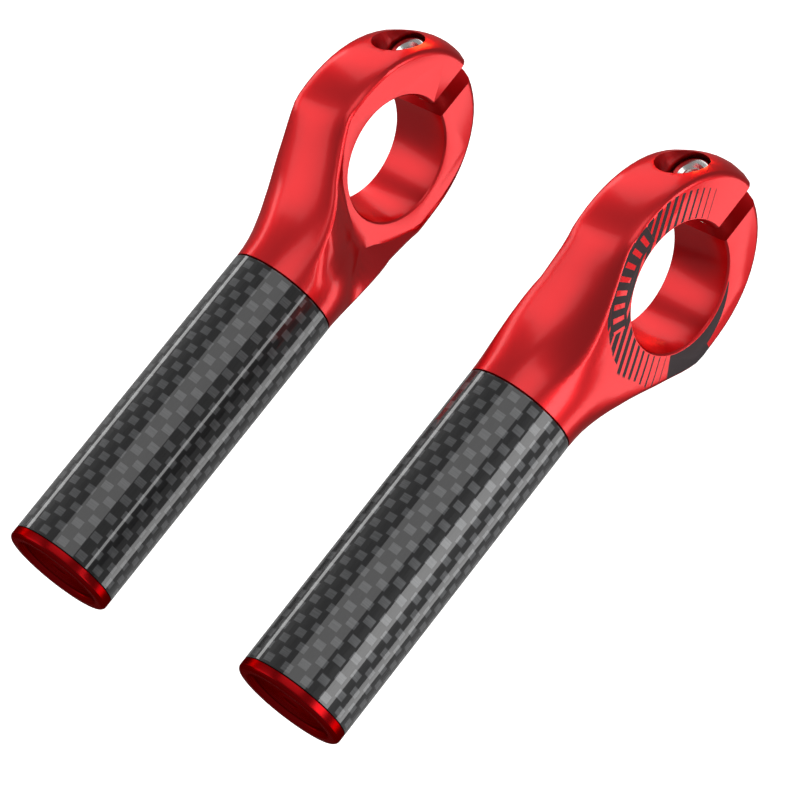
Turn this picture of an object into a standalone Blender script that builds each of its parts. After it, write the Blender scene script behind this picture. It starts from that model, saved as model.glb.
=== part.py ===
"""Pair of clamp-on bar ends for the ends of a bicycle handlebar.

Frame: metres, +Z up. X is the handlebar's axis, the grip tubes point along -Y, and the clamp
bolts go in from +Z. The origin is on the handlebar's axis, midway between the two clamps.
Each bar end is a forged clamp head, a bonded carbon tube, a clamp bolt with its washer and
thread insert, and an end plug held in the tube by two O-rings.
"""
import math

import bmesh
import bpy
from mathutils import Vector

MM = 0.001
GAP = 0.3 * MM                    # clearance kept between neighbouring pieces

# --- Clamp ring -----------------------------------------------------------------------
CLAMP_SPACING = 63.8 * MM         # between the middle planes of the two clamp rings
BORE_RADIUS = 11.1 * MM           # 22.2 mm handlebar
BORE_CHAMFER = 0.3 * MM
HALF_WIDTH = 6.0 * MM             # flat face to flat face is 12 mm
RING_REACH = 20.5 * MM            # bore axis to the crown of the barrel on the slot side
RING_HEIGHT = 16.9 * MM           # bore axis to the crown of the barrel at the top
LOWER_REACH_CUT = 0.050           # the lower lug is this much shorter than the upper one
LOWER_HEIGHT_CUT = 0.045          # and this much lower
LOWER_CUT_START = -8.0 * MM      # place along Y where that cut starts, and where it is full
LOWER_CUT_FULL = 1.0 * MM
EDGE_RADIUS = 0.8 * MM            # rounded edge between barrel and flat faces
CROWN = 0.4 * MM                  # rise of the barrel between its edges
LUG_CROWN = 1.6 * MM              # how much more it rises at the lugs
LUG_END = math.radians(65)        # where that extra rise has faded out
SLOT_WIDTH = 3.6 * MM

# --- Neck: one row per station from the ring to the tube, in millimetres ---------------
# place along Y | crown line height | drop to the outboard edge | drop to the inboard edge | ridge
# reach inboard | top and bottom of the milled pocket | reach inboard at the pocket's edges, and
# on its centre line | share of the tube's round section
NECK = [
    (-3.0, 16.72, 0.6, 0.8, 6.3, 15.0, -15.2, 6.0, 6.0, 0.00),
    (-4.5, 16.45, 0.7, 1.0, 6.5, 14.3, -14.7, 6.0, 6.0, 0.00),
    (-7.0, 15.4, 1.0, 1.2, 6.9, 12.4, -13.2, 6.0, 6.0, 0.00),
    (-11.0, 13.4, 1.5, 1.1, 8.1, 7.3, -10.6, 6.0, 6.0, 0.00),
    (-13.0, 12.5, 1.8, 1.2, 8.8, 2.2, -8.6, 6.0, 6.0, 0.00),
    (-15.0, 11.7, 2.1, 1.3, 9.8, -1.5, -6.8, 6.5, 6.4, 0.03),
    (-19.0, 10.5, 2.9, 1.6, 11.2, 0.5, -5.4, 9.0, 9.3, 0.16),
    (-23.0, 9.95, 3.9, 2.1, 12.1, 3.0, -5.0, 11.2, 11.7, 0.45),
    (-26.5, 9.75, 4.4, 2.4, 12.6, 4.5, -5.0, 12.7, 13.3, 0.82),
    (-29.7, 9.66, 4.4, 2.4, 12.6, 5.0, -5.0, 13.6, 14.3, 1.00),
]
NECK_STATIONS = 16
RING_STATIONS = 16
RIDGE_START = math.radians(50)    # where the inboard ridge leaves the ring's face
ARC_STEPS = 3                     # facets in each rounded edge
CROWN_STEPS = 6                   # facets across the barrel between its edges
SIDE_STEPS = 6                    # facets down each side of a section
STRIP_ANGLE = math.radians(52)    # how far the barrel strip wraps the tube's round section

# --- Tube -----------------------------------------------------------------------------
TUBE_RADIUS = 9.66 * MM
TUBE_WALL = 1.5 * MM
TUBE_OFFSET = 4.6 * MM            # tube axis, inboard of the ring's middle plane
TUBE_START = -29.7 * MM
TUBE_END = -87.6 * MM
SPIGOT_END = -48.0 * MM           # end of the head's spigot inside the tube
SPIGOT_CHAMFER = 1.0 * MM

# --- Clamp bolt, washer and insert ------------------------------------------------------
BOLT_Y = 14.7 * MM                # bolt axis, from the bore axis
BOLT_RADIUS = 2.0 * MM            # M4
BOLT_LENGTH = 12.0 * MM           # under the head
BOLT_PLAY = 0.35 * MM             # round the shank in the upper lug
HEAD_RADIUS = 3.5 * MM
HEAD_HEIGHT = 2.6 * MM            # low head
HEX_ACROSS = 3.0 * MM
HEX_DEPTH = 1.7 * MM
BOLT_CHAMFER = 0.4 * MM
COUNTERBORE_RADIUS = 4.0 * MM
COUNTERBORE_FLOOR = 4.1 * MM
WASHER_THICKNESS = 0.7 * MM
WASHER_RADIUS = 3.6 * MM
INSERT_RADIUS = 2.8 * MM
INSERT_TOP = -2.4 * MM
INSERT_LENGTH = 3.8 * MM

# --- End plug ---------------------------------------------------------------------------
PLUG_FLANGE = 1.7 * MM
PLUG_EDGE = 0.7 * MM
PLUG_STEM_LENGTH = 13.0 * MM
PLUG_RECESS = 0.9 * MM
RECESS_RADIUS = 7.4 * MM
ORING_WIRE = 0.75 * MM
STEM_PLAY = 0.45 * MM             # how far the O-rings stand proud of the plug's stem
ORING_PLACES = (4.0 * MM, 9.0 * MM)

COLOURS = {
    "anodised": ((0.62, 0.03, 0.03), 0.35, 0.9),
    "plug_anodised": ((0.30, 0.0, 0.005), 0.35, 0.9),
    "carbon": ((0.02, 0.02, 0.022), 0.25, 0.0),
    "steel": ((0.60, 0.58, 0.56), 0.3, 1.0),
    "brass": ((0.75, 0.6, 0.3), 0.35, 1.0),
    "rubber": ((0.02, 0.02, 0.02), 0.8, 0.0),
}


# --- Small helpers --------------------------------------------------------------------
def clear_scene():
    for obj in list(bpy.data.objects):
        bpy.data.objects.remove(obj, do_unlink=True)


def new_collection(name):
    collection = bpy.data.collections.new(name)
    bpy.context.scene.collection.children.link(collection)
    return collection


def material(name):
    colour, roughness, metallic = COLOURS[name]
    mat = bpy.data.materials.new(name)
    mat.use_nodes = True
    shader = mat.node_tree.nodes["Principled BSDF"]
    shader.inputs["Base Color"].default_value = (*colour, 1.0)
    shader.inputs["Roughness"].default_value = roughness
    shader.inputs["Metallic"].default_value = metallic
    return mat


def add_object(name, mesh, collection, location, mat=None):
    obj = bpy.data.objects.new(name, mesh)
    collection.objects.link(obj)
    obj.location = location
    if mat:
        mesh.materials.append(mat)
    return obj


def mesh_from_bmesh(name, bm):
    bmesh.ops.recalc_face_normals(bm, faces=bm.faces)
    mesh = bpy.data.meshes.new(name)
    bm.to_mesh(mesh)
    bm.free()
    return mesh


def shade_round(obj, degrees=35):
    obj.data.shade_smooth()
    obj.data.set_sharp_from_angle(angle=math.radians(degrees))


def turned(name, profile, collection, location, mat=None, steps=48, closed=False):
    """A profile of (radius, height) points, outer side top to bottom, turned about local Z."""
    mesh = bpy.data.meshes.new(name)
    points = [(radius, 0.0, height) for radius, height in profile]
    count = len(points)
    edges = [(i, i + 1) for i in range(count - 1)]
    if closed:
        edges.append((count - 1, 0))
    mesh.from_pydata(points, edges, [])
    obj = add_object(name, mesh, collection, location, mat)
    screw = obj.modifiers.new("turn", "SCREW")
    screw.axis = "Z"
    screw.steps = steps
    screw.render_steps = steps
    screw.use_smooth_shade = True
    screw.use_merge_vertices = True
    screw.merge_threshold = 0.00001
    return obj


def lay_along_y(obj):
    """Turn a piece made about local Z so that local +Z points along world -Y."""
    obj.rotation_euler = (math.radians(90), 0, 0)
    return obj


def lay_along_x(obj):
    obj.rotation_euler = (0, math.radians(90), 0)
    return obj


def cut(target, cutter):
    cutter.hide_render = True
    cutter.display_type = "WIRE"
    boolean = target.modifiers.new("cut_" + cutter.name, "BOOLEAN")
    boolean.operation = "DIFFERENCE"
    boolean.solver = "EXACT"
    boolean.object = cutter


# --- Clamp head: a loft round the ring and down the neck, then milled and drilled ---------
def smooth_step(value):
    value = min(1.0, max(0.0, value))
    return value * value * (3 - 2 * value)


def knot_slopes(knots, values):
    """Slopes for a monotone cubic, so that the neck never bulges past its stations."""
    steps = [(values[i + 1] - values[i]) / (knots[i + 1] - knots[i]) for i in range(len(knots) - 1)]
    slopes = [steps[0]]
    for before, after in zip(steps, steps[1:]):
        slopes.append(2 * before * after / (before + after) if before * after > 0 else 0.0)
    slopes.append(0.0)
    return slopes


def neck_value(column, y):
    """Value and slope of one column of NECK at y, in millimetres."""
    knots = [-row[0] for row in NECK]
    values = [row[column] for row in NECK]
    slopes = knot_slopes(knots, values)
    place = min(max(-y, knots[0]), knots[-1])
    i = min(sum(1 for knot in knots[1:-1] if knot <= place), len(knots) - 2)
    width = knots[i + 1] - knots[i]
    t = (place - knots[i]) / width
    value = (values[i] * (1 + 2 * t) * (1 - t) ** 2 + slopes[i] * width * t * (1 - t) ** 2
             + values[i + 1] * t * t * (3 - 2 * t) - slopes[i + 1] * width * t * t * (1 - t))
    rise = (6 * t * (1 - t) * (values[i + 1] - values[i]) / width
            + slopes[i] * (1 - t) * (1 - 3 * t) + slopes[i + 1] * t * (3 * t - 2))
    return value, -rise


def strip_profile(outboard, inboard, drops):
    """(x, depth below the crown line) across the barrel, from the outboard to the inboard face."""
    middle = (outboard - inboard) / 2
    half = (outboard + inboard) / 2
    points = []
    for i in range(ARC_STEPS + 1):
        angle = math.radians(90) * i / ARC_STEPS
        points.append((outboard - EDGE_RADIUS * (1 - math.cos(angle)), EDGE_RADIUS * (1 - math.sin(angle))))
    for i in range(1, CROWN_STEPS):
        x = outboard - EDGE_RADIUS - (outboard + inboard - 2 * EDGE_RADIUS) * i / CROWN_STEPS
        points.append((x, 0.0))
    for i in range(ARC_STEPS + 1):
        angle = math.radians(90) * (1 - i / ARC_STEPS)
        points.append((-inboard + EDGE_RADIUS * (1 - math.cos(angle)), EDGE_RADIUS * (1 - math.sin(angle))))
    return [(x, depth + drops[x < middle] * ((x - middle) / half) ** 2) for x, depth in points]


def section(crown_point, normal, drops, ridge, pocket_y, pocket, reaches):
    """One closed section of the ring or neck, from the outboard edge over the top and round."""
    upper = []
    for x, depth in strip_profile(HALF_WIDTH, ridge, drops):
        upper.append(Vector((x, crown_point[0] - normal[0] * depth, crown_point[1] - normal[1] * depth)))
    lower = [Vector((p.x, p.y, -p.z)) for p in reversed(upper)]
    inboard = []
    for i in range(SIDE_STEPS - 1):
        share = i / (SIDE_STEPS - 2)
        height = pocket[0] + (pocket[1] - pocket[0]) * share
        reach = reaches[1] + (reaches[0] - reaches[1]) * (1 - 2 * share) ** 2
        inboard.append(Vector((-reach, pocket_y, height)))
    outboard = []
    for i in range(1, SIDE_STEPS):
        share = 2 * i / SIDE_STEPS - 1
        outboard.append(Vector((HALF_WIDTH, upper[0].y, upper[0].z * share)))
    return [slimmer_below(point) for point in upper + inboard + lower + outboard]


def slimmer_below(point):
    """The lower lug is slimmer than the upper one, which holds the bolt's head."""
    below = smooth_step(0.5 - point.z / SLOT_WIDTH)
    ring = smooth_step((point.y - LOWER_CUT_START) / (LOWER_CUT_FULL - LOWER_CUT_START))
    reach_cut = LOWER_REACH_CUT * below if point.y > 0 else 0
    return Vector((point.x, point.y * (1 - reach_cut), point.z * (1 - LOWER_HEIGHT_CUT * below * ring)))


def round_section(y, radius):
    """A circle about the tube's axis, with its points numbered like those of a section."""
    strip = ARC_STEPS * 2 + CROWN_STEPS
    flank = math.pi - 2 * STRIP_ANGLE
    angles = []
    for start in (STRIP_ANGLE, STRIP_ANGLE - math.pi):
        for i in range(strip + 1):
            angles.append(start - 2 * STRIP_ANGLE * i / strip)
        for i in range(1, SIDE_STEPS):
            angles.append(start - 2 * STRIP_ANGLE - flank * i / SIDE_STEPS)
    return [Vector((radius * math.sin(a) - TUBE_OFFSET, y, radius * math.cos(a))) for a in angles]


def ring_sections():
    """Sections from the slot over the top to the neck, each mirrored below the bore."""
    last = math.acos(NECK[0][0] * MM / RING_REACH)
    rows = []
    for i in range(RING_STATIONS + 1):
        angle = last * i / RING_STATIONS
        crown = Vector((RING_REACH * math.cos(angle), RING_HEIGHT * math.sin(angle)))
        normal = Vector((math.cos(angle) / RING_REACH, math.sin(angle) / RING_HEIGHT)).normalized()
        edge = crown - normal * (EDGE_RADIUS + CROWN)
        lug = LUG_CROWN * (1 - smooth_step(angle / LUG_END))
        rise = smooth_step((angle - RIDGE_START) / (last - RIDGE_START))
        drops = [CROWN + lug + (neck * MM - CROWN) * rise for neck in NECK[0][2:4]]
        ridge = HALF_WIDTH + (NECK[0][4] * MM - HALF_WIDTH) * rise
        pocket = [edge.y + (NECK[0][5] * MM - edge.y) * rise, NECK[0][6] * MM * rise - edge.y * (1 - rise)]
        reaches = (HALF_WIDTH, HALF_WIDTH)
        rows.append(section(crown + normal * lug, normal, drops, ridge, edge.x, pocket, reaches))
    return rows


def neck_sections():
    first = NECK[0][0]
    rows = []
    for i in range(1, NECK_STATIONS + 1):
        y = first + (TUBE_START / MM - first) * i / NECK_STATIONS
        height, slope = neck_value(1, y)
        normal = Vector((-slope, 1.0)).normalized()
        outboard_drop, inboard_drop, ridge, top, bottom, edge_reach, centre_reach = (
            neck_value(column, y)[0] * MM for column in range(2, 9))
        roundness = neck_value(9, y)[0]
        pocket_y = y * MM - normal.x * (EDGE_RADIUS + inboard_drop)
        flat = section((y * MM, height * MM), normal, (outboard_drop, inboard_drop), ridge, pocket_y,
                       (top, bottom), (edge_reach, centre_reach))
        rows.append([p.lerp(c, roundness) for p, c in zip(flat, round_section(y * MM, TUBE_RADIUS))])
    return rows


def head_blank(name, side):
    """The forged blank with its spigot; side is +1 for the right head and -1 for the left."""
    spigot = TUBE_RADIUS - TUBE_WALL - GAP
    rows = ring_sections() + neck_sections()
    rows.append(round_section(TUBE_START, spigot))
    rows.append(round_section(SPIGOT_END + SPIGOT_CHAMFER, spigot))
    rows.append(round_section(SPIGOT_END, spigot - SPIGOT_CHAMFER))
    bm = bmesh.new()
    made = [[bm.verts.new((p.x * side, p.y, p.z)) for p in row] for row in rows]
    count = len(made[0])
    for row, following in zip(made, made[1:]):
        for i in range(count):
            j = (i + 1) % count
            bm.faces.new((row[i], row[j], following[j], following[i]))
    bm.faces.new(made[-1])
    bmesh.ops.remove_doubles(bm, verts=bm.verts, dist=0.000002)
    return mesh_from_bmesh(name, bm)


def bore_cutter(cutters, centre):
    """The handlebar bore, with a chamfer at each flat face of the ring."""
    wide = BORE_RADIUS + BORE_CHAMFER
    relief = wide + GAP
    beyond = 3 * HALF_WIDTH
    upper = [(relief, beyond), (relief, HALF_WIDTH + GAP), (wide, HALF_WIDTH),
             (BORE_RADIUS, HALF_WIDTH - BORE_CHAMFER)]
    lower = [(radius, -height) for radius, height in reversed(upper)]
    profile = [(0, beyond)] + upper + lower + [(0, -beyond)]
    return lay_along_x(turned("bore", profile, cutters, centre, steps=72))


def slot_cutter(cutters, centre):
    bm = bmesh.new()
    bmesh.ops.create_cube(bm, size=1.0)
    length = RING_REACH
    bmesh.ops.scale(bm, verts=bm.verts, vec=(6 * HALF_WIDTH, length, SLOT_WIDTH))
    place = (centre[0], BORE_RADIUS / 2 + length / 2, 0)
    return add_object("slot", mesh_from_bmesh("slot", bm), cutters, place)


def bolt_hole_cutter(cutters, centre):
    """Counterbore, clearance hole through the upper lug and insert hole through the lower one."""
    far = 2 * RING_HEIGHT
    shank = BOLT_RADIUS + BOLT_PLAY
    insert = INSERT_RADIUS + GAP
    step = INSERT_TOP + GAP
    profile = [(0, far), (COUNTERBORE_RADIUS, far), (COUNTERBORE_RADIUS, COUNTERBORE_FLOOR),
               (shank, COUNTERBORE_FLOOR), (shank, step), (insert, step), (insert, -far), (0, -far)]
    return turned("bolt_hole", profile, cutters, (centre[0], BOLT_Y, 0), steps=36)


def clamp_head(name, side, parts, cutters, mat):
    centre = (side * CLAMP_SPACING / 2, 0, 0)
    head = add_object(name, head_blank(name, side), parts, centre, mat)
    for make_cutter in (bore_cutter, slot_cutter, bolt_hole_cutter):
        cut(head, make_cutter(cutters, centre))
    shade_round(head)
    return head


# --- The other pieces -------------------------------------------------------------------
def carbon_tube(name, axis_x, parts, mat):
    start = TUBE_START - GAP
    inner = TUBE_RADIUS - TUBE_WALL
    length = start - TUBE_END
    profile = [(TUBE_RADIUS, length), (TUBE_RADIUS, 0), (inner, 0), (inner, length)]
    return lay_along_y(turned(name, profile, parts, (axis_x, start, 0), mat, steps=56, closed=True))


def clamp_bolt(name, x, parts, cutters, mat):
    """Socket head cap screw; its origin is on its axis at the bearing face of the head."""
    bearing = COUNTERBORE_FLOOR + GAP + WASHER_THICKNESS + GAP
    socket_edge = HEX_ACROSS / 2 / math.cos(math.radians(30))
    top = HEAD_HEIGHT
    edge = BOLT_CHAMFER
    profile = [(0, top - edge), (socket_edge, top - edge), (socket_edge + edge, top),
               (HEAD_RADIUS - edge, top), (HEAD_RADIUS, top - edge), (HEAD_RADIUS, 0), (BOLT_RADIUS, 0),
               (BOLT_RADIUS, edge - BOLT_LENGTH), (BOLT_RADIUS - edge, -BOLT_LENGTH), (0, -BOLT_LENGTH)]
    bolt = turned(name, profile, parts, (x, BOLT_Y, bearing), mat, steps=30)
    bm = bmesh.new()
    bmesh.ops.create_cone(bm, cap_ends=True, segments=6, radius1=socket_edge, radius2=socket_edge,
                          depth=2 * HEX_DEPTH)
    hexagon = add_object("hexagon", mesh_from_bmesh("hexagon", bm), cutters, (x, BOLT_Y, bearing + top))
    cut(bolt, hexagon)
    return bolt


def ring_piece(name, inner, outer, height, location, parts, mat, edge, steps=24):
    """A flat ring or sleeve standing on its origin, with its outer edges broken."""
    profile = [(outer - edge, height), (outer, height - edge), (outer, edge), (outer - edge, 0),
               (inner, 0), (inner, height)]
    return turned(name, profile, parts, location, mat, steps=steps, closed=True)


def plug_profile():
    """From the recessed face outward, over the rim and down the grooved, hollow stem."""
    stem = TUBE_RADIUS - TUBE_WALL - GAP - STEM_PLAY
    groove = TUBE_RADIUS - TUBE_WALL - GAP - 2 * ORING_WIRE - GAP
    bottom = PLUG_FLANGE - PLUG_RECESS
    points = [(0, bottom), (RECESS_RADIUS - PLUG_EDGE, bottom), (RECESS_RADIUS, PLUG_FLANGE)]
    for i in range(4):
        angle = math.radians(90) * i / 3
        points.append((TUBE_RADIUS - PLUG_EDGE * (1 - math.sin(angle)),
                       PLUG_FLANGE - PLUG_EDGE * (1 - math.cos(angle))))
    points += [(TUBE_RADIUS, 0), (stem, 0)]
    for place in ORING_PLACES:
        half = ORING_WIRE + GAP
        points += [(stem, half - place), (groove, half - place)]
        points += [(groove, -half - place), (stem, -half - place)]
    hollow = groove - TUBE_WALL
    points += [(stem, PLUG_EDGE - PLUG_STEM_LENGTH), (stem - PLUG_EDGE, -PLUG_STEM_LENGTH),
               (hollow, -PLUG_STEM_LENGTH), (hollow, -PLUG_EDGE), (0, -PLUG_EDGE)]
    return points


def end_plug(name, axis_x, parts, mat):
    return lay_along_y(turned(name, plug_profile(), parts, (axis_x, TUBE_END - GAP, 0), mat, steps=36))


def o_ring(name, axis_x, place, parts, mat):
    centre = TUBE_RADIUS - TUBE_WALL - GAP - ORING_WIRE
    profile = []
    for i in range(8):
        angle = -math.radians(45) * i
        profile.append((centre + ORING_WIRE * math.cos(angle), ORING_WIRE * math.sin(angle)))
    ring = turned(name, profile, parts, (axis_x, TUBE_END - GAP + place, 0), mat, steps=24, closed=True)
    return lay_along_y(ring)


def bar_end(label, side, parts, cutters, mats):
    clamp_x = side * CLAMP_SPACING / 2
    tube_x = side * (CLAMP_SPACING / 2 - TUBE_OFFSET)
    inner = BOLT_RADIUS + GAP
    clamp_head(label + "_clamp_head", side, parts, cutters, mats["anodised"])
    carbon_tube(label + "_carbon_tube", tube_x, parts, mats["carbon"])
    clamp_bolt(label + "_clamp_bolt", clamp_x, parts, cutters, mats["steel"])
    ring_piece(label + "_bolt_washer", inner, WASHER_RADIUS, WASHER_THICKNESS,
               (clamp_x, BOLT_Y, COUNTERBORE_FLOOR + GAP), parts, mats["steel"], 0.15 * MM)
    ring_piece(label + "_thread_insert", inner, INSERT_RADIUS, INSERT_LENGTH,
               (clamp_x, BOLT_Y, INSERT_TOP - INSERT_LENGTH), parts, mats["brass"], 0.2 * MM)
    end_plug(label + "_end_plug", tube_x, parts, mats["plug_anodised"])
    for number, place in enumerate(ORING_PLACES, start=1):
        o_ring(f"{label}_plug_o_ring_{number}", tube_x, place, parts, mats["rubber"])


def build():
    clear_scene()
    parts = new_collection("bar_end_grips")
    cutters = new_collection("cutters")
    mats = {name: material(name) for name in COLOURS}
    for label, side in (("left", -1), ("right", 1)):
        bar_end(label, side, parts, cutters, mats)


build()
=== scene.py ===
# %% [markdown]
# # A pair of clamp-on bar ends
# Two forged aluminium clamps hold two short carbon grips, one on each end of a handlebar.
# The frame gives every solid at its real size. This lesson makes the pieces that show, at a
# finer grain than the solids, and gives each one its own finish.

# %% Load the frame
import math

import bpy
from mathutils import Matrix, Vector


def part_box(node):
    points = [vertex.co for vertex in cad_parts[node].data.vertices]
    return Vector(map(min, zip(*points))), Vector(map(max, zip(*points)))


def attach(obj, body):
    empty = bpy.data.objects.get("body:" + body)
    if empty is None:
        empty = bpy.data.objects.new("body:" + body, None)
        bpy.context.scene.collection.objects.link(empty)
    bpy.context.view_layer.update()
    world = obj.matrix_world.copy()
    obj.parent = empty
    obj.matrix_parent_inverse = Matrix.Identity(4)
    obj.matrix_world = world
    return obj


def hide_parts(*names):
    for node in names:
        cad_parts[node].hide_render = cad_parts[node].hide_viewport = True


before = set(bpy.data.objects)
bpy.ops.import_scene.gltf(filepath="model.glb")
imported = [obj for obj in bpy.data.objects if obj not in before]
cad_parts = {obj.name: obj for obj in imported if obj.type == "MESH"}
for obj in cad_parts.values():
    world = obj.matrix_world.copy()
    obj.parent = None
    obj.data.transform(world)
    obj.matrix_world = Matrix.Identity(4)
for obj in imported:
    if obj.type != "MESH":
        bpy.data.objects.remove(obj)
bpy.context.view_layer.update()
MM = 0.001

# %% [markdown]
# ## Sizes
# Nothing is typed in twice: the outboard face, the tube's axis and radius and the bolt's place
# all come from the boxes of the solids. Only the wall can't be read from a box.


# %% Sizes from the solids
def middle(node):
    low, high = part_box(node)
    return (low + high) / 2


def reach(node):
    low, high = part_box(node)
    return (high - low) / 2


SIDES = {"left": -1, "right": 1}
TUBE_X = abs(middle("right_carbon_tube").x)
TUBE_RADIUS = reach("right_carbon_tube").x
TUBE_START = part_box("right_carbon_tube")[1].y
TUBE_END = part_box("right_carbon_tube")[0].y
WALL = 1.5 * MM
BOLT = middle("right_clamp_bolt")
OUTBOARD_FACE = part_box("right_clamp_head")[1].x
print(f"tube axis {TUBE_X / MM:.1f} mm out, radius {TUBE_RADIUS / MM:.2f} mm")

# %% [markdown]
# ## Working by hand, in code
# An operator works on whatever is selected, and the imported solids arrive selected. So each
# piece starts from an empty selection, and is finished with its place in its mesh.


# %% Selecting and finishing
def select_only(obj):
    bpy.ops.object.select_all(action="DESELECT")
    obj.select_set(True)
    bpy.context.view_layer.objects.active = obj


def finish_piece(obj, body, node, finish, smooth=32):
    """Settle a piece's place, shading and finish, and hang it on its body."""
    select_only(obj)
    bpy.ops.object.transform_apply(location=True, rotation=True, scale=True)
    bpy.ops.object.shade_smooth_by_angle(angle=math.radians(smooth))
    obj.data.materials.clear()
    obj.data.materials.append(finish)
    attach(obj, body)
    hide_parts(node)
    obj.data.calc_loop_triangles()
    print(f"{obj.name}: {len(obj.data.loop_triangles)} triangles")


# %% [markdown]
# ## A small language for finishes
# A shader is a web of nodes. Wrapping a socket in a class lets the sums be written as sums.


# %% Shader sums
class Wire:
    """A number or colour on its way between nodes, with ordinary arithmetic."""

    def __init__(self, maker, socket):
        self.maker = maker
        self.socket = socket

    def __add__(self, other):
        return self.maker.sum("ADD", self, other)

    __radd__ = __add__

    def __sub__(self, other):
        return self.maker.sum("SUBTRACT", self, other)

    def __rsub__(self, other):
        return self.maker.sum("SUBTRACT", other, self)

    def __mul__(self, other):
        return self.maker.sum("MULTIPLY", self, other)

    __rmul__ = __mul__

    def __truediv__(self, other):
        return self.maker.sum("DIVIDE", self, other)

    def __rtruediv__(self, other):
        return self.maker.sum("DIVIDE", other, self)


# %% [markdown]
# Every other node comes from one method, which is told the node's type, its settings and what
# goes into its sockets. The methods below it are short names for the nodes used most. A finish
# is built round one Principled shader, and what is the same all over the surface is set there.


# %% A finish
class Finish:
    """One material, built around a Principled shader."""

    def __init__(self, name, **fixed):
        self.material = bpy.data.materials.new(name)
        self.material.use_nodes = True
        self.tree = self.material.node_tree
        self.shader = self.tree.nodes["Principled BSDF"]
        for socket, value in fixed.items():
            self.shader.inputs[socket.replace("_", " ")].default_value = value

    def node(self, kind, settings=None, inputs=None, output=0):
        made = self.tree.nodes.new(kind)
        for key, value in (settings or {}).items():
            setattr(made, key, value)
        for key, value in (inputs or {}).items():
            self.feed(made.inputs[key], value)
        return Wire(self, made.outputs[output])

    def feed(self, socket, value):
        if isinstance(value, Wire):
            self.tree.links.new(value.socket, socket)
        else:
            socket.default_value = value

    def show(self, **wires):
        for socket, wire in wires.items():
            self.feed(self.shader.inputs[socket.replace("_", " ")], wire)
        return self.material

    def sum(self, operation, first, second=0.0):
        return self.node("ShaderNodeMath", {"operation": operation}, {0: first, 1: second})

    def either(self, first, second):
        return self.sum("MAXIMUM", first, second)

    def above(self, value, limit, soft):
        """0 below the limit and 1 above it, with an edge as wide as soft."""
        inputs = {"Value": (value - limit) / soft, "From Min": -0.5, "From Max": 0.5}
        return self.node("ShaderNodeMapRange", {"interpolation_type": "SMOOTHSTEP"}, inputs)

    def between(self, value, limits, soft):
        """1 where value lies between the two limits, with edges as wide as soft."""
        low, high = limits
        return self.above(value, low, soft) * self.above(high, value, soft)

    def place(self):
        """Object coordinates: the whole vector, then x, y and z."""
        where = self.node("ShaderNodeTexCoord", output=3)
        return [where] + [
            self.node("ShaderNodeSeparateXYZ", inputs={0: where}, output=axis) for axis in range(3)]

    def noise(self, where, scale, detail, stretch=None):
        if stretch:
            where = self.node("ShaderNodeMapping", inputs={"Vector": where, "Scale": stretch})
        inputs = {"Vector": where, "Scale": scale, "Detail": detail}
        return self.node("ShaderNodeTexNoise", inputs=inputs)

    def mix(self, share, first, second):
        inputs = {0: share, 6: first, 7: second}
        return self.node("ShaderNodeMix", {"data_type": "RGBA"}, inputs, output=2)

    def mix_value(self, share, first, second):
        return self.node("ShaderNodeMix", {"data_type": "FLOAT"}, {0: share, 2: first, 3: second})

    def bump(self, height, distance, strength):
        inputs = {"Height": height, "Distance": distance, "Strength": strength}
        return self.node("ShaderNodeBump", inputs=inputs)


def colour(red, green, blue):
    return (red, green, blue, 1.0)


print("finishes are made by", Finish.__name__, "and wired by", Wire.__name__)

# %% [markdown]
# ## The pad print
# The outboard faces carry a print: slanting stripes that grow wider, a dark band with plain
# windows in it, and a dark field that runs out into a crescent along the bore. It could be an
# image, but then it would blur close up. Here the ink is worked out from the distance to the
# bore's axis and the angle round it, counted from the slot towards the bolt's side.

# %% Sizes of the print
STRIPE_TILT = math.radians(35)
STRIPE_PITCH = 1.5 * MM
STRIPE_START = 2 * MM
STRIPE_FINEST = 0.12 * MM
STRIPE_GROWTH = 0.85 / 13
STRIPES_FROM = 27
STRIPES_TO = 132
BAND_ANGLES = (88, 158)
BAND_RADII = (12.3 * MM, 15.9 * MM)
WINDOW_PITCH = 9
WINDOW_FROM = 2.7
WINDOW_RADII = (12.9 * MM, 15.3 * MM)
FIELD_ANGLES = (-133, -95)
CRESCENT_ANGLES = (-96, -48)
CRESCENT_TIP = 11.7 * MM
CRESCENT_GROWTH = 0.05 * MM
PRINT_INNER = 11.5 * MM
PRINT_OUTER = 16.5 * MM
PRINT_OUTER_BELOW = 1.5 * MM
BELOW_FROM = 40
FACE_DEPTH_OF_INK = 0.12 * MM
INK_EDGE = 0.05 * MM
ANGLE_EDGE = 0.3
print(f"stripes every {STRIPE_PITCH / MM} mm, tilted {math.degrees(STRIPE_TILT):.0f} degrees")

# %% [markdown]
# Each shape is a mask, 1 inside and 0 outside, with an edge a twentieth of a millimetre wide.
# Multiplying masks keeps what they share, and the larger of two masks joins them.


# %% Where the ink lies
def stripe_mask(finish, y, z, angle):
    above_slot = finish.above(angle, STRIPES_FROM, ANGLE_EDGE)
    below_slot = finish.above(-1 * angle, STRIPES_TO, ANGLE_EDGE)
    across = z * math.cos(STRIPE_TILT) - y * math.sin(STRIPE_TILT)
    width = (across + STRIPE_START) * STRIPE_GROWTH + STRIPE_FINEST
    off_line = finish.sum("PINGPONG", across, STRIPE_PITCH / 2)
    stripes = finish.above(width / 2 - off_line, 0.0, INK_EDGE)
    return stripes * finish.either(above_slot, below_slot)


def field_mask(finish, radius, angle):
    field = finish.between(angle, FIELD_ANGLES, ANGLE_EDGE)
    crescent = finish.between(angle, CRESCENT_ANGLES, ANGLE_EDGE)
    rim = CRESCENT_TIP - (angle - CRESCENT_ANGLES[1]) * CRESCENT_GROWTH
    return finish.either(field, crescent * finish.above(rim - radius, 0.0, INK_EDGE))


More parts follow.
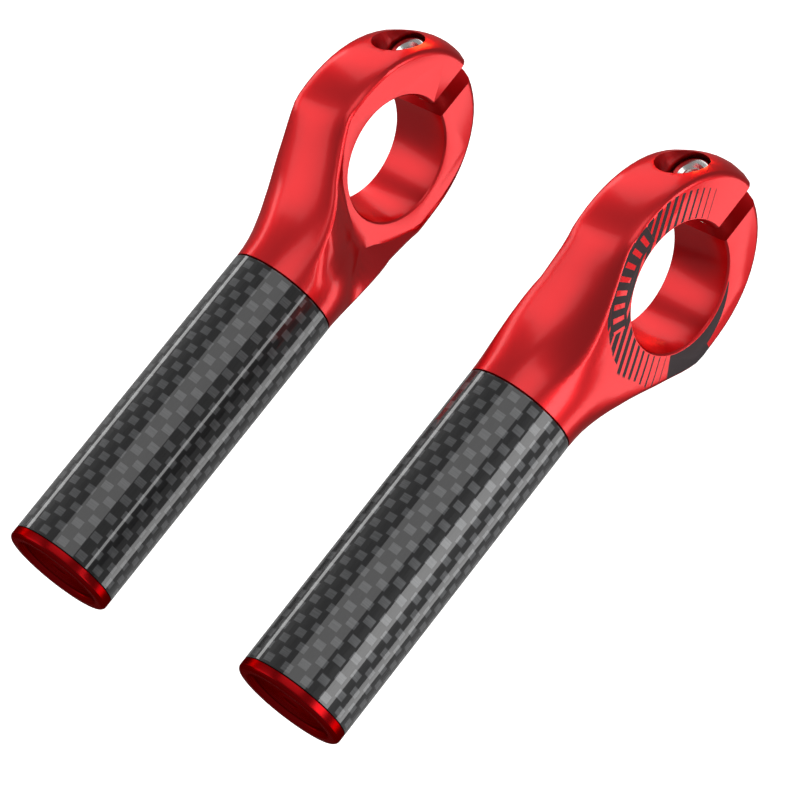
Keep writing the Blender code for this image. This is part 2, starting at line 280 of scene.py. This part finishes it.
def print_mask(finish, x, y, z):
    """Where the ink is, on the outboard face of each ring."""
    radius = finish.sum("SQRT", y * y + z * z)
    angle = finish.sum("ARCTAN2", z, y) * (180 / math.pi)
    band = finish.between(angle, BAND_ANGLES, ANGLE_EDGE)
    band = band * finish.between(radius, BAND_RADII, INK_EDGE)
    off_window = finish.sum("PINGPONG", angle, WINDOW_PITCH / 2)
    windows = finish.above(off_window, WINDOW_FROM, ANGLE_EDGE)
    windows = windows * finish.between(radius, WINDOW_RADII, INK_EDGE)
    stripes = stripe_mask(finish, y, z, angle) * (1 - band)
    ink = finish.either(stripes, band - band * windows)
    ink = finish.either(ink, field_mask(finish, radius, angle))
    outer = PRINT_OUTER + PRINT_OUTER_BELOW * finish.above(-1 * angle, BELOW_FROM, 1)
    ring = finish.between(radius, (PRINT_INNER, outer), INK_EDGE)
    outward = finish.sum("ABSOLUTE", x)
    face = finish.above(outward, OUTBOARD_FACE - FACE_DEPTH_OF_INK, 0.02 * MM)
    return ink * ring * face


# %% [markdown]
# ## Anodised aluminium
# Anodising grows a hard, clear layer on the metal and dyes it. The metal underneath is blasted
# first, so the colour has a fine satin grain, and the clear layer adds a second, sharper gloss.
# Ink is no metal and hides both, so it takes the metal and the gloss away where it lies.

# %% Anodised finish
RED = colour(0.66, 0.022, 0.026)
DEEP_RED = colour(0.60, 0.012, 0.016)
PRINT_GREY = colour(0.018, 0.019, 0.021)


def anodised(name):
    finish = Finish(name, Coat_Roughness=0.16, Coat_IOR=1.6, Specular_IOR_Level=0.25,
                    Specular_Tint=colour(1.0, 0.35, 0.35))
    where, x, y, z = finish.place()
    cloud = finish.noise(where, 70.0, 3.0)
    grain = finish.noise(where, 9000.0, 1.0)
    ink = print_mask(finish, x, y, z)
    dye = finish.mix(ink, finish.mix(cloud, RED, DEEP_RED), PRINT_GREY)
    rough = 0.36 + 0.06 * grain + 0.18 * ink
    normal = finish.bump(grain, 0.004 * MM, 0.5)
    return finish.show(Base_Color=dye, Roughness=rough, Metallic=1 - ink, Normal=normal,
                       Coat_Weight=0.3 - 0.27 * ink)


head_finish = anodised("anodised_red_printed")
print("anodised finish:", len(head_finish.node_tree.nodes), "nodes")

# %% [markdown]
# ## Woven carbon under clear gloss
# A plain weave crosses two sets of flat tows, one along the grip and one round it. Fibres shine
# across their own length, so where one set passes over the other the weave looks like a
# chequerboard of light and dark. Here that shine is painted into the colour: the cells where the
# tows round the grip lie on top get a lighter grey, a painted sheen, and the rest keep the carbon's
# near black. A thick coat of clear lacquer makes the outside smooth.
# The cells are counted along the grip and round its axis, so the weave closes on itself.

# %% Carbon finish
TOW_LENGTH = 1.9 * MM
TOWS_ROUND = 32
FIBRE_SCALE = 5000.0
FIBRES_ALONG = (1.0, 0.05, 1.0)
FIBRES_ROUND = (0.06, 1.0, 0.06)
DARK_TOW = (colour(0.003, 0.003, 0.003), colour(0.014, 0.014, 0.015))
# The lighter tow colour is a painted sheen: the carbon itself is near black all over.
PAINTED_SHEEN_TOW = (colour(0.045, 0.046, 0.048), colour(0.11, 0.112, 0.115))


def carbon(name):
    finish = Finish(name, Specular_IOR_Level=0.15, Coat_Weight=1.0, Coat_Roughness=0.02,
                    Coat_IOR=1.5)
    where, x, y, z = finish.place()
    out = finish.sum("ABSOLUTE", x) - TUBE_X
    around = finish.sum("ARCTAN2", out, z) * (TOWS_ROUND / (2 * math.pi))
    along = y / TOW_LENGTH
    cell = finish.sum("FLOOR", along) + finish.sum("FLOOR", around)
    weft = finish.sum("FLOORED_MODULO", cell, 2.0)
    across_cell = finish.sum("PINGPONG", around, 0.5)
    along_cell = finish.sum("PINGPONG", along, 0.5)
    crown = finish.mix_value(weft, across_cell, along_cell)
    # The cells where the round tows lie on top carry the painted sheen in their colour, and some
    # metal gloss.
    sheen_floats = weft * finish.above(across_cell, 0.06, 0.08)
    sheen_floats = sheen_floats * finish.above(along_cell, 0.13, 0.10)
    fibres_along = finish.noise(where, FIBRE_SCALE, 1.0, FIBRES_ALONG)
    fibres_round = finish.noise(where, FIBRE_SCALE, 1.0, FIBRES_ROUND)
    fibre = finish.mix_value(weft, fibres_along, fibres_round)
    shade = finish.mix(sheen_floats, finish.mix(fibre, *DARK_TOW), finish.mix(fibre, *PAINTED_SHEEN_TOW))
    normal = finish.bump(crown * 1.4 + fibre * 0.12, 0.12 * MM, 0.5)
    return finish.show(Base_Color=shade, Roughness=0.45 + 0.05 * fibre, Normal=normal,
                       Metallic=0.45 * sheen_floats)


carbon_finish = carbon("carbon_weave")
print("carbon finish:", len(carbon_finish.node_tree.nodes), "nodes")

# %% [markdown]
# ## A turned and anodised plug
# The plug is turned on a lathe before it is anodised, and the tool leaves fine rings about its
# axis. A sine of the distance to that axis makes them, in the bump and a little in the gloss.

# %% Plug finish
TOOL_FEED = 0.16 * MM


def turned_plug(name):
    finish = Finish(name, Specular_Tint=colour(0.5, 0.02, 0.02))
    where, x, y, z = finish.place()
    out = finish.sum("ABSOLUTE", x) - TUBE_X
    radius = finish.sum("SQRT", out * out + z * z)
    rings = finish.sum("SINE", radius * (2 * math.pi / TOOL_FEED))
    cloud = finish.noise(where, 110.0, 2.0)
    dye = finish.mix(cloud, colour(0.30, 0.004, 0.006), colour(0.22, 0.003, 0.004))
    normal = finish.bump(rings, 0.006 * MM, 0.6)
    return finish.show(Base_Color=dye, Roughness=0.24 + 0.05 * rings, Metallic=1.0, Normal=normal)


plug_finish = turned_plug("anodised_dark_red_turned")
print("plug finish:", len(plug_finish.node_tree.nodes), "nodes")

# %% [markdown]
# ## Plated steel and moulded rubber
# The bolt is cold formed and plated, so its grey is slightly clouded and its gloss varies.
# O-rings are moulded rubber, dull and slightly mottled.


# %% Steel and rubber finishes
def plated_steel(name, tint, rough):
    finish = Finish(name)
    where, x, y, z = finish.place()
    cloud = finish.noise(where, 420.0, 3.0)
    grain = finish.noise(where, 7000.0, 2.0)
    metal = finish.mix(cloud, colour(*tint), colour(*(0.82 * part for part in tint)))
    normal = finish.bump(grain, 0.004 * MM, 0.5)
    return finish.show(Base_Color=metal, Roughness=rough + 0.1 * cloud, Metallic=1.0, Normal=normal)


def moulded_rubber(name):
    finish = Finish(name)
    where, x, y, z = finish.place()
    cloud = finish.noise(where, 900.0, 3.0)
    shade = finish.mix(cloud, colour(0.012, 0.012, 0.012), colour(0.03, 0.03, 0.03))
    normal = finish.bump(cloud, 0.01 * MM, 0.6)
    return finish.show(Base_Color=shade, Roughness=0.55 + 0.2 * cloud, Normal=normal)


steel_finish = plated_steel("zinc_plated_steel", (0.85, 0.84, 0.82), 0.16)
insert_finish = plated_steel("bright_insert_steel", (0.78, 0.74, 0.66), 0.26)
rubber_finish = moulded_rubber("seal_rubber")
print("other finishes:", steel_finish.name, insert_finish.name, rubber_finish.name)

# %% [markdown]
# ## The clamp heads
# A forged head is milled flat on the faces and bored through. Its shape is a loft that only the
# frame's solid has, so the piece is a copy of that solid. The copy's loose triangles are merged
# and its flat faces are joined up again. Then every sharp edge is rounded by a sixth of a
# millimetre, as blasting and anodising leave it, and that catches the light.

# %% Clamp heads
HEAD_MERGE = 0.002 * MM
FLAT_ANGLE = math.radians(0.05)
EDGE_ROUND = 0.16 * MM
EDGE_ANGLE = math.radians(38)


def merged_copy(node, name):
    obj = bpy.data.objects.new(name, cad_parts[node].data.copy())
    bpy.context.scene.collection.objects.link(obj)
    select_only(obj)
    bpy.ops.object.mode_set(mode="EDIT")
    bpy.ops.mesh.select_all(action="SELECT")
    bpy.ops.mesh.remove_doubles(threshold=HEAD_MERGE)
    bpy.ops.mesh.dissolve_limited(angle_limit=FLAT_ANGLE)
    bpy.ops.object.mode_set(mode="OBJECT")
    return obj


def break_edges(obj):
    """Round every sharp edge of a piece by a little."""
    bevel = obj.modifiers.new("edges", "BEVEL")
    bevel.width = EDGE_ROUND
    bevel.segments = 2
    bevel.limit_method = "ANGLE"
    bevel.angle_limit = EDGE_ANGLE
    select_only(obj)
    bpy.ops.object.modifier_apply(modifier=bevel.name)


for label in SIDES:
    node = label + "_clamp_head"
    head = merged_copy(node, label + "_head_forging")
    break_edges(head)
    finish_piece(head, label + "_bar_end", node, head_finish, smooth=18)

# %% [markdown]
# ## Round pieces, drawn out from a circle
# A lathe makes the plug, bolt, washer and rings. By hand it is a circle, extruded step by step:
# each step moves the new edge loop along the axis and scales it to the next radius. A profile
# that starts or ends near the axis leaves a pinhole, which is filled.

# %% Turning
PIN = 0.02 * MM
TURNED_MERGE = 0.004 * MM
DIRECTIONS = {"Y": Vector((0, 1, 0)), "Z": Vector((0, 0, 1))}


def start_circle(name, place, axis, radius, corners):
    lay = (math.radians(-90), 0, 0) if axis == "Y" else (0, 0, 0)
    bpy.ops.object.select_all(action="DESELECT")
    bpy.ops.mesh.primitive_circle_add(vertices=corners, radius=radius, location=place, rotation=lay)
    obj = bpy.context.object
    obj.name = name
    bpy.ops.object.transform_apply(location=True, rotation=True, scale=True)
    return obj


def turned(name, centre, axis, profile, corners=96):
    """Draw a circle out along an axis through (radius, distance) points."""
    along = DIRECTIONS[axis]
    radius, place = profile[0]
    obj = start_circle(name, centre + along * place, axis, radius, corners)
    bpy.ops.object.mode_set(mode="EDIT")
    bpy.ops.mesh.select_all(action="SELECT")
    for next_radius, next_place in profile[1:]:
        step = along * (next_place - place)
        bpy.ops.mesh.extrude_edges_move(TRANSFORM_OT_translate={"value": step})
        share = next_radius / radius
        scale = (share, 1, share) if axis == "Y" else (share, share, 1)
        bpy.ops.transform.resize(value=scale, center_override=centre + along * next_place)
        radius, place = next_radius, next_place
    bpy.ops.mesh.select_all(action="SELECT")
    bpy.ops.mesh.remove_doubles(threshold=TURNED_MERGE)
    bpy.ops.mesh.fill_holes(sides=0)
    bpy.ops.mesh.normals_make_consistent(inside=False)
    bpy.ops.object.mode_set(mode="OBJECT")
    return obj


def arc(centre_radius, centre_place, size, start, end, steps):
    """Points of a rounded corner; angles in degrees, 0 outward and 90 towards +axis."""
    points = []
    for i in range(steps + 1):
        angle = math.radians(start + (end - start) * i / steps)
        points.append((centre_radius + size * math.cos(angle),
                       centre_place + size * math.sin(angle)))
    return points


# %% [markdown]
# ## The grips
# Each grip is a wrapped tube with a 1.5 mm wall. Its edges are broken by a twentieth of a
# millimetre, so that the joint with the head shows as a fine line. The profile ends where it
# began, which closes the wall on itself.

# %% Carbon tubes
SEAM = 0.05 * MM


def tube_profile():
    inner = TUBE_RADIUS - WALL
    outer = TUBE_RADIUS
    return [(inner, TUBE_START), (outer - SEAM, TUBE_START), (outer, TUBE_START - SEAM),
            (outer, TUBE_END + SEAM), (outer - SEAM, TUBE_END), (inner, TUBE_END),
            (inner, TUBE_START)]


for label, side in SIDES.items():
    node = label + "_carbon_tube"
    tube = turned(label + "_grip_tube", Vector((side * TUBE_X, 0, 0)), "Y", tube_profile(), 160)
    finish_piece(tube, label + "_bar_end", node, carbon_finish)

# %% [markdown]
# ## The end plugs
# The flange has a full rounded rim, and its face is sunk and turned in low steps round a small
# boss. Two grooves in the stem hold the O-rings, and the stem is hollow to save weight. All of
# it is one profile, from the face's centre to the bottom of the hollow.

# %% Sizes of a plug
PLUG_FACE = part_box("right_end_plug")[0].y
PLUG_SEAT = TUBE_END - 0.08 * MM
STEM_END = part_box("right_end_plug")[1].y
RIM = 0.75 * MM
FACE_FLOOR = PLUG_FACE + 0.9 * MM
BOSS_STEP = 0.22 * MM
RING_STEP = 0.12 * MM
RING_RADII = (2.7, 3.9, 5.1)
STEM_RADIUS = TUBE_RADIUS - WALL - 0.75 * MM
GROOVE_RADIUS = TUBE_RADIUS - WALL - 2.1 * MM
GROOVE_PLAY = 0.2 * MM
HOLLOW_BOTTOM = FACE_FLOOR + 2.2 * MM
ORING_NUMBERS = (1, 2)
ORING_Y = sorted(middle(f"right_plug_o_ring_{number}").y for number in ORING_NUMBERS)
ORING_WIRE = reach("right_plug_o_ring_1").y
print(f"plug stem {STEM_RADIUS / MM:.2f} mm in radius, O-rings at", [y / MM for y in ORING_Y])

# %% [markdown]
# The profile is put together from three parts, in the order that a lathe would cut them: the
# face, the flange and the stem.


# %% Profile of a plug
def face_profile():
    boss = FACE_FLOOR - BOSS_STEP
    points = [(PIN, FACE_FLOOR), (1.4 * MM, FACE_FLOOR), (1.6 * MM, boss), (2.4 * MM, boss)]
    for ring in RING_RADII:
        top = FACE_FLOOR - RING_STEP
        points += [(ring * MM, FACE_FLOOR), ((ring + 0.7) * MM, FACE_FLOOR),
                   ((ring + 0.8) * MM, top), ((ring + 1.05) * MM, top)]
    points += [(6.3 * MM, FACE_FLOOR), (7.1 * MM, FACE_FLOOR), (7.3 * MM, FACE_FLOOR - 0.1 * MM)]
    return points


def flange_profile():
    points = [(7.6 * MM, PLUG_FACE + 0.25 * MM), (7.9 * MM, PLUG_FACE)]
    points += arc(TUBE_RADIUS - RIM, PLUG_FACE + RIM, RIM, -90, 0, 8)
    return points + [(TUBE_RADIUS, PLUG_SEAT - 0.1 * MM), (TUBE_RADIUS - 0.1 * MM, PLUG_SEAT),
                     (STEM_RADIUS, PLUG_SEAT)]


def stem_profile():
    half = ORING_WIRE + GROOVE_PLAY
    points = []
    for place in ORING_Y:
        points += [(STEM_RADIUS, place - half), (GROOVE_RADIUS, place - half),
                   (GROOVE_RADIUS, place + half), (STEM_RADIUS, place + half)]
    hollow = GROOVE_RADIUS - WALL
    return points + [(STEM_RADIUS, STEM_END - RIM), (STEM_RADIUS - RIM, STEM_END),
                     (hollow, STEM_END), (hollow, HOLLOW_BOTTOM), (PIN, HOLLOW_BOTTOM)]


# %% [markdown]
# An O-ring is a turned circle: its profile is a ring of points that closes on itself. It sits
# in its groove and rides with the plug, so it comes out of the tube with it.

# %% End plugs and their O-rings
for label, side in SIDES.items():
    centre = Vector((side * TUBE_X, 0, 0))
    profile = face_profile() + flange_profile() + stem_profile()
    plug = turned(label + "_turned_plug", centre, "Y", profile)
    finish_piece(plug, label + "_plug", label + "_end_plug", plug_finish)
    for number in ORING_NUMBERS:
        node = f"{label}_plug_o_ring_{number}"
        wire = reach(node).y
        loop = arc(reach(node).x - wire, middle(node).y, wire, 0, 360, 16)
        seal = turned(f"{label}_seal_{number}", centre, "Y", loop, 72)
        finish_piece(seal, label + "_plug", node, rubber_finish, smooth=60)

# %% [markdown]
# ## The clamp bolts
# A socket head cap screw: a turned head with a rounded top edge, a rolled thread below it, and a
# hexagon pressed into the top behind a cone that leads the key in. The thread is drawn as one
# ridge a turn, because at this size its lead can't be seen.

# %% Profile of a bolt
HEAD_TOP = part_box("right_clamp_bolt")[1].z
HEAD_RADIUS = reach("right_clamp_bolt").x
HEAD_HEIGHT = 2.6 * MM
HEAD_EDGE = 0.45 * MM
BOLT_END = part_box("right_clamp_bolt")[0].z
SHANK_RADIUS = 2.0 * MM
SHANK_LENGTH = 2.2 * MM
PITCH = 0.7 * MM
THREAD_ROOT = SHANK_RADIUS - 0.38 * MM
HEX_RADIUS = 1.5 * MM / math.cos(math.radians(30))
HEX_DEPTH = 1.7 * MM
CONE_DEPTH = 0.4 * MM


def bolt_profile():
    bearing = HEAD_TOP - HEAD_HEIGHT
    cone = HEAD_TOP - CONE_DEPTH
    points = [(PIN, cone), (HEX_RADIUS + 0.06 * MM, cone), (2.4 * MM, HEAD_TOP)]
    points += arc(HEAD_RADIUS - HEAD_EDGE, HEAD_TOP - HEAD_EDGE, HEAD_EDGE, 90, 0, 6)
    points += [(HEAD_RADIUS, bearing + 0.15 * MM), (HEAD_RADIUS - 0.15 * MM, bearing),
               (SHANK_RADIUS, bearing)]
    place = bearing - SHANK_LENGTH
    points.append((SHANK_RADIUS, place))
    while place > BOLT_END + 1.5 * PITCH:
        points += [(THREAD_ROOT, place - 0.4 * PITCH), (THREAD_ROOT, place - 0.5 * PITCH),
                   (SHANK_RADIUS, place - 0.9 * PITCH), (SHANK_RADIUS, place - PITCH)]
        place -= PITCH
    return points + [(SHANK_RADIUS - 0.4 * MM, BOLT_END), (PIN, BOLT_END)]


print("points along a bolt:", len(bolt_profile()))

# %% [markdown]
# The hexagon is cut by a six sided prism that is added for it and removed afterwards.


# %% Clamp bolts
def hexagon_cut(obj, top):
    bpy.ops.object.select_all(action="DESELECT")
    bpy.ops.mesh.primitive_cylinder_add(vertices=6, radius=HEX_RADIUS, depth=2 * HEX_DEPTH,
                                        location=top)
    prism = bpy.context.object
    select_only(obj)
    boolean = obj.modifiers.new("hexagon", "BOOLEAN")
    boolean.operation = "DIFFERENCE"
    boolean.solver = "EXACT"
    boolean.object = prism
    bpy.ops.object.modifier_apply(modifier=boolean.name)
    bpy.data.objects.remove(prism, do_unlink=True)


for label, side in SIDES.items():
    centre = Vector((side * BOLT.x, BOLT.y, 0))
    bolt = turned(label + "_cap_screw", centre, "Z", bolt_profile(), 64)
    hexagon_cut(bolt, centre + Vector((0, 0, HEAD_TOP)))
    finish_piece(bolt, label + "_bolt", label + "_clamp_bolt", steel_finish)

# %% [markdown]
# ## Washers and thread inserts
# These are small turned rings with broken edges. The insert has two shallow grooves, because it
# is pressed deep into the lower lug and only its end shows.

# %% Washers and inserts
RING_BORE = 2.3 * MM
RING_EDGE = 0.12 * MM
INSERT_GROOVES = (0.33, 0.66)


def ring_profile(node, grooves):
    low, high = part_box(node)
    outer = (high.x - low.x) / 2
    points = [(RING_BORE, low.z), (outer - RING_EDGE, low.z), (outer, low.z + RING_EDGE)]
    for share in grooves:
        place = low.z + (high.z - low.z) * share
        points += [(outer, place - RING_EDGE), (outer - RING_EDGE, place),
                   (outer, place + RING_EDGE)]
    return points + [(outer, high.z - RING_EDGE), (outer - RING_EDGE, high.z),
                     (RING_BORE, high.z), (RING_BORE, low.z)]


def small_ring(label, kind, body, finish, grooves):
    node = f"{label}_{kind}"
    centre = Vector((SIDES[label] * BOLT.x, BOLT.y, 0))
    ring = turned(f"{node}_turned", centre, "Z", ring_profile(node, grooves), 64)
    finish_piece(ring, f"{label}_{body}", node, finish)


for label in SIDES:
    small_ring(label, "bolt_washer", "washer", steel_finish, ())
    small_ring(label, "thread_insert", "bar_end", insert_finish, INSERT_GROOVES)

# %% [markdown]
# ## The floor
# A pale floor lies well below the pair, bright enough to look white. It isn't mirrored in the
# pieces, because the lacquer would turn grey all along its lower side.

# %% Floor
FLOOR_Z = -260 * MM


def pale_floor():
    finish = Finish("pale_floor", Roughness=0.9, Base_Color=colour(0.92, 0.92, 0.92),
                    Emission_Color=colour(1.0, 1.0, 1.0), Emission_Strength=0.7)
    bpy.ops.object.select_all(action="DESELECT")
    bpy.ops.mesh.primitive_plane_add(size=6.0, location=(0, 0, FLOOR_Z))
    floor = bpy.context.object
    floor.name = "pale_floor"
    floor.data.materials.append(finish.material)
    floor.visible_glossy = False


pale_floor()
print(f"floor {-FLOOR_Z / MM:.0f} mm below the handlebar's axis")

# %% [markdown]
# ## The light
# Each lamp is a panel at a known distance, given by its direction, its size and how bright its
# surface looks. The grips mirror the long panels as lengthwise bands; the gaps between the
# panels stay black in the lacquer. A small warm panel gives the bolt's side of each ring a glint.

# %% Light
WORLD_BRIGHTNESS = 0.3
LAMP_AIM = Vector((0, -0.03, 0))
WHITE = (1, 1, 1)
WARM = (1.0, 0.45, 0.12)

world = bpy.data.worlds.new("studio")
bpy.context.scene.world = world
world.use_nodes = True
background = world.node_tree.nodes["Background"].inputs
background["Color"].default_value = colour(1.0, 1.0, 1.0)
background["Strength"].default_value = WORLD_BRIGHTNESS


def panel(name, direction, across, along, brightness, distance=1.2, tint=WHITE):
    """A rectangular lamp; along is its length in Y, across the other way."""
    towards = Vector(direction).normalized()
    side = Vector((0, 1, 0)).cross(towards).normalized()
    upright = towards.cross(side).normalized()
    light = bpy.data.lights.new(name, "AREA")
    light.shape = "RECTANGLE"
    light.size = across
    light.size_y = along
    light.color = tint
    light.energy = brightness * math.pi * across * along
    lamp = bpy.data.objects.new(name, light)
    bpy.context.scene.collection.objects.link(lamp)
    lamp.rotation_euler = Matrix((side, upright, towards)).transposed().to_euler()
    lamp.location = LAMP_AIM + towards * distance


panel("top_soft", (0.35, 0.24, 0.90), 1.1, 0.5, 1.7)
panel("main_soft", (-0.63, -0.24, 0.72), 1.0, 0.75, 1.5)
panel("slot_soft", (-0.58, 0.68, 0.42), 0.8, 0.6, 1.6)
panel("side_strip", (0.97, 0.24, 0.0), 0.52, 1.3, 4.6)
panel("under_strip", (0.63, 0.24, -0.74), 0.3, 1.0, 3.0, distance=0.9)
panel("far_strip", (-0.93, 0.24, 0.27), 0.2, 1.0, 3.4)
panel("warm_glint", (-0.42, 0.9, 0.0), 0.36, 0.2, 9.0, tint=WARM)
bpy.context.scene.view_settings.view_transform = "Standard"

# %% [markdown]
# ## The camera
# The camera stands high on the outboard side of the right grip, with a long lens, and is rolled
# so that the grips run down to the left. Its three directions are given as they are, because
# they say more than angles would.

# %% Camera
CAMERA_PLACE = Vector((0.45207, -0.20932, 0.52323))
CAMERA_RIGHT = Vector((0.69512, 0.60158, -0.39359))
CAMERA_UP = Vector((-0.34884, 0.76098, 0.54701))
CAMERA_BACK = Vector((0.62859, -0.24294, 0.73882))

camera = bpy.data.objects.new("camera", bpy.data.cameras.new("camera"))
bpy.context.scene.collection.objects.link(camera)
camera.location = CAMERA_PLACE
camera.rotation_euler = Matrix((CAMERA_RIGHT, CAMERA_UP, CAMERA_BACK)).transposed().to_euler()
camera.data.lens = 200.68
camera.data.sensor_width = 36
camera.data.clip_start = 0.01
camera.data.clip_end = 20
bpy.context.scene.camera = camera
print(f"camera {CAMERA_PLACE.length:.3f} m from the middle, lens {camera.data.lens:.0f} mm")

# %% [markdown]
# ## The end
# Last, the view layer is brought up to date. What shows must be no bigger than the solids.

# %% Bring the view layer up to date
bpy.context.view_layer.update()
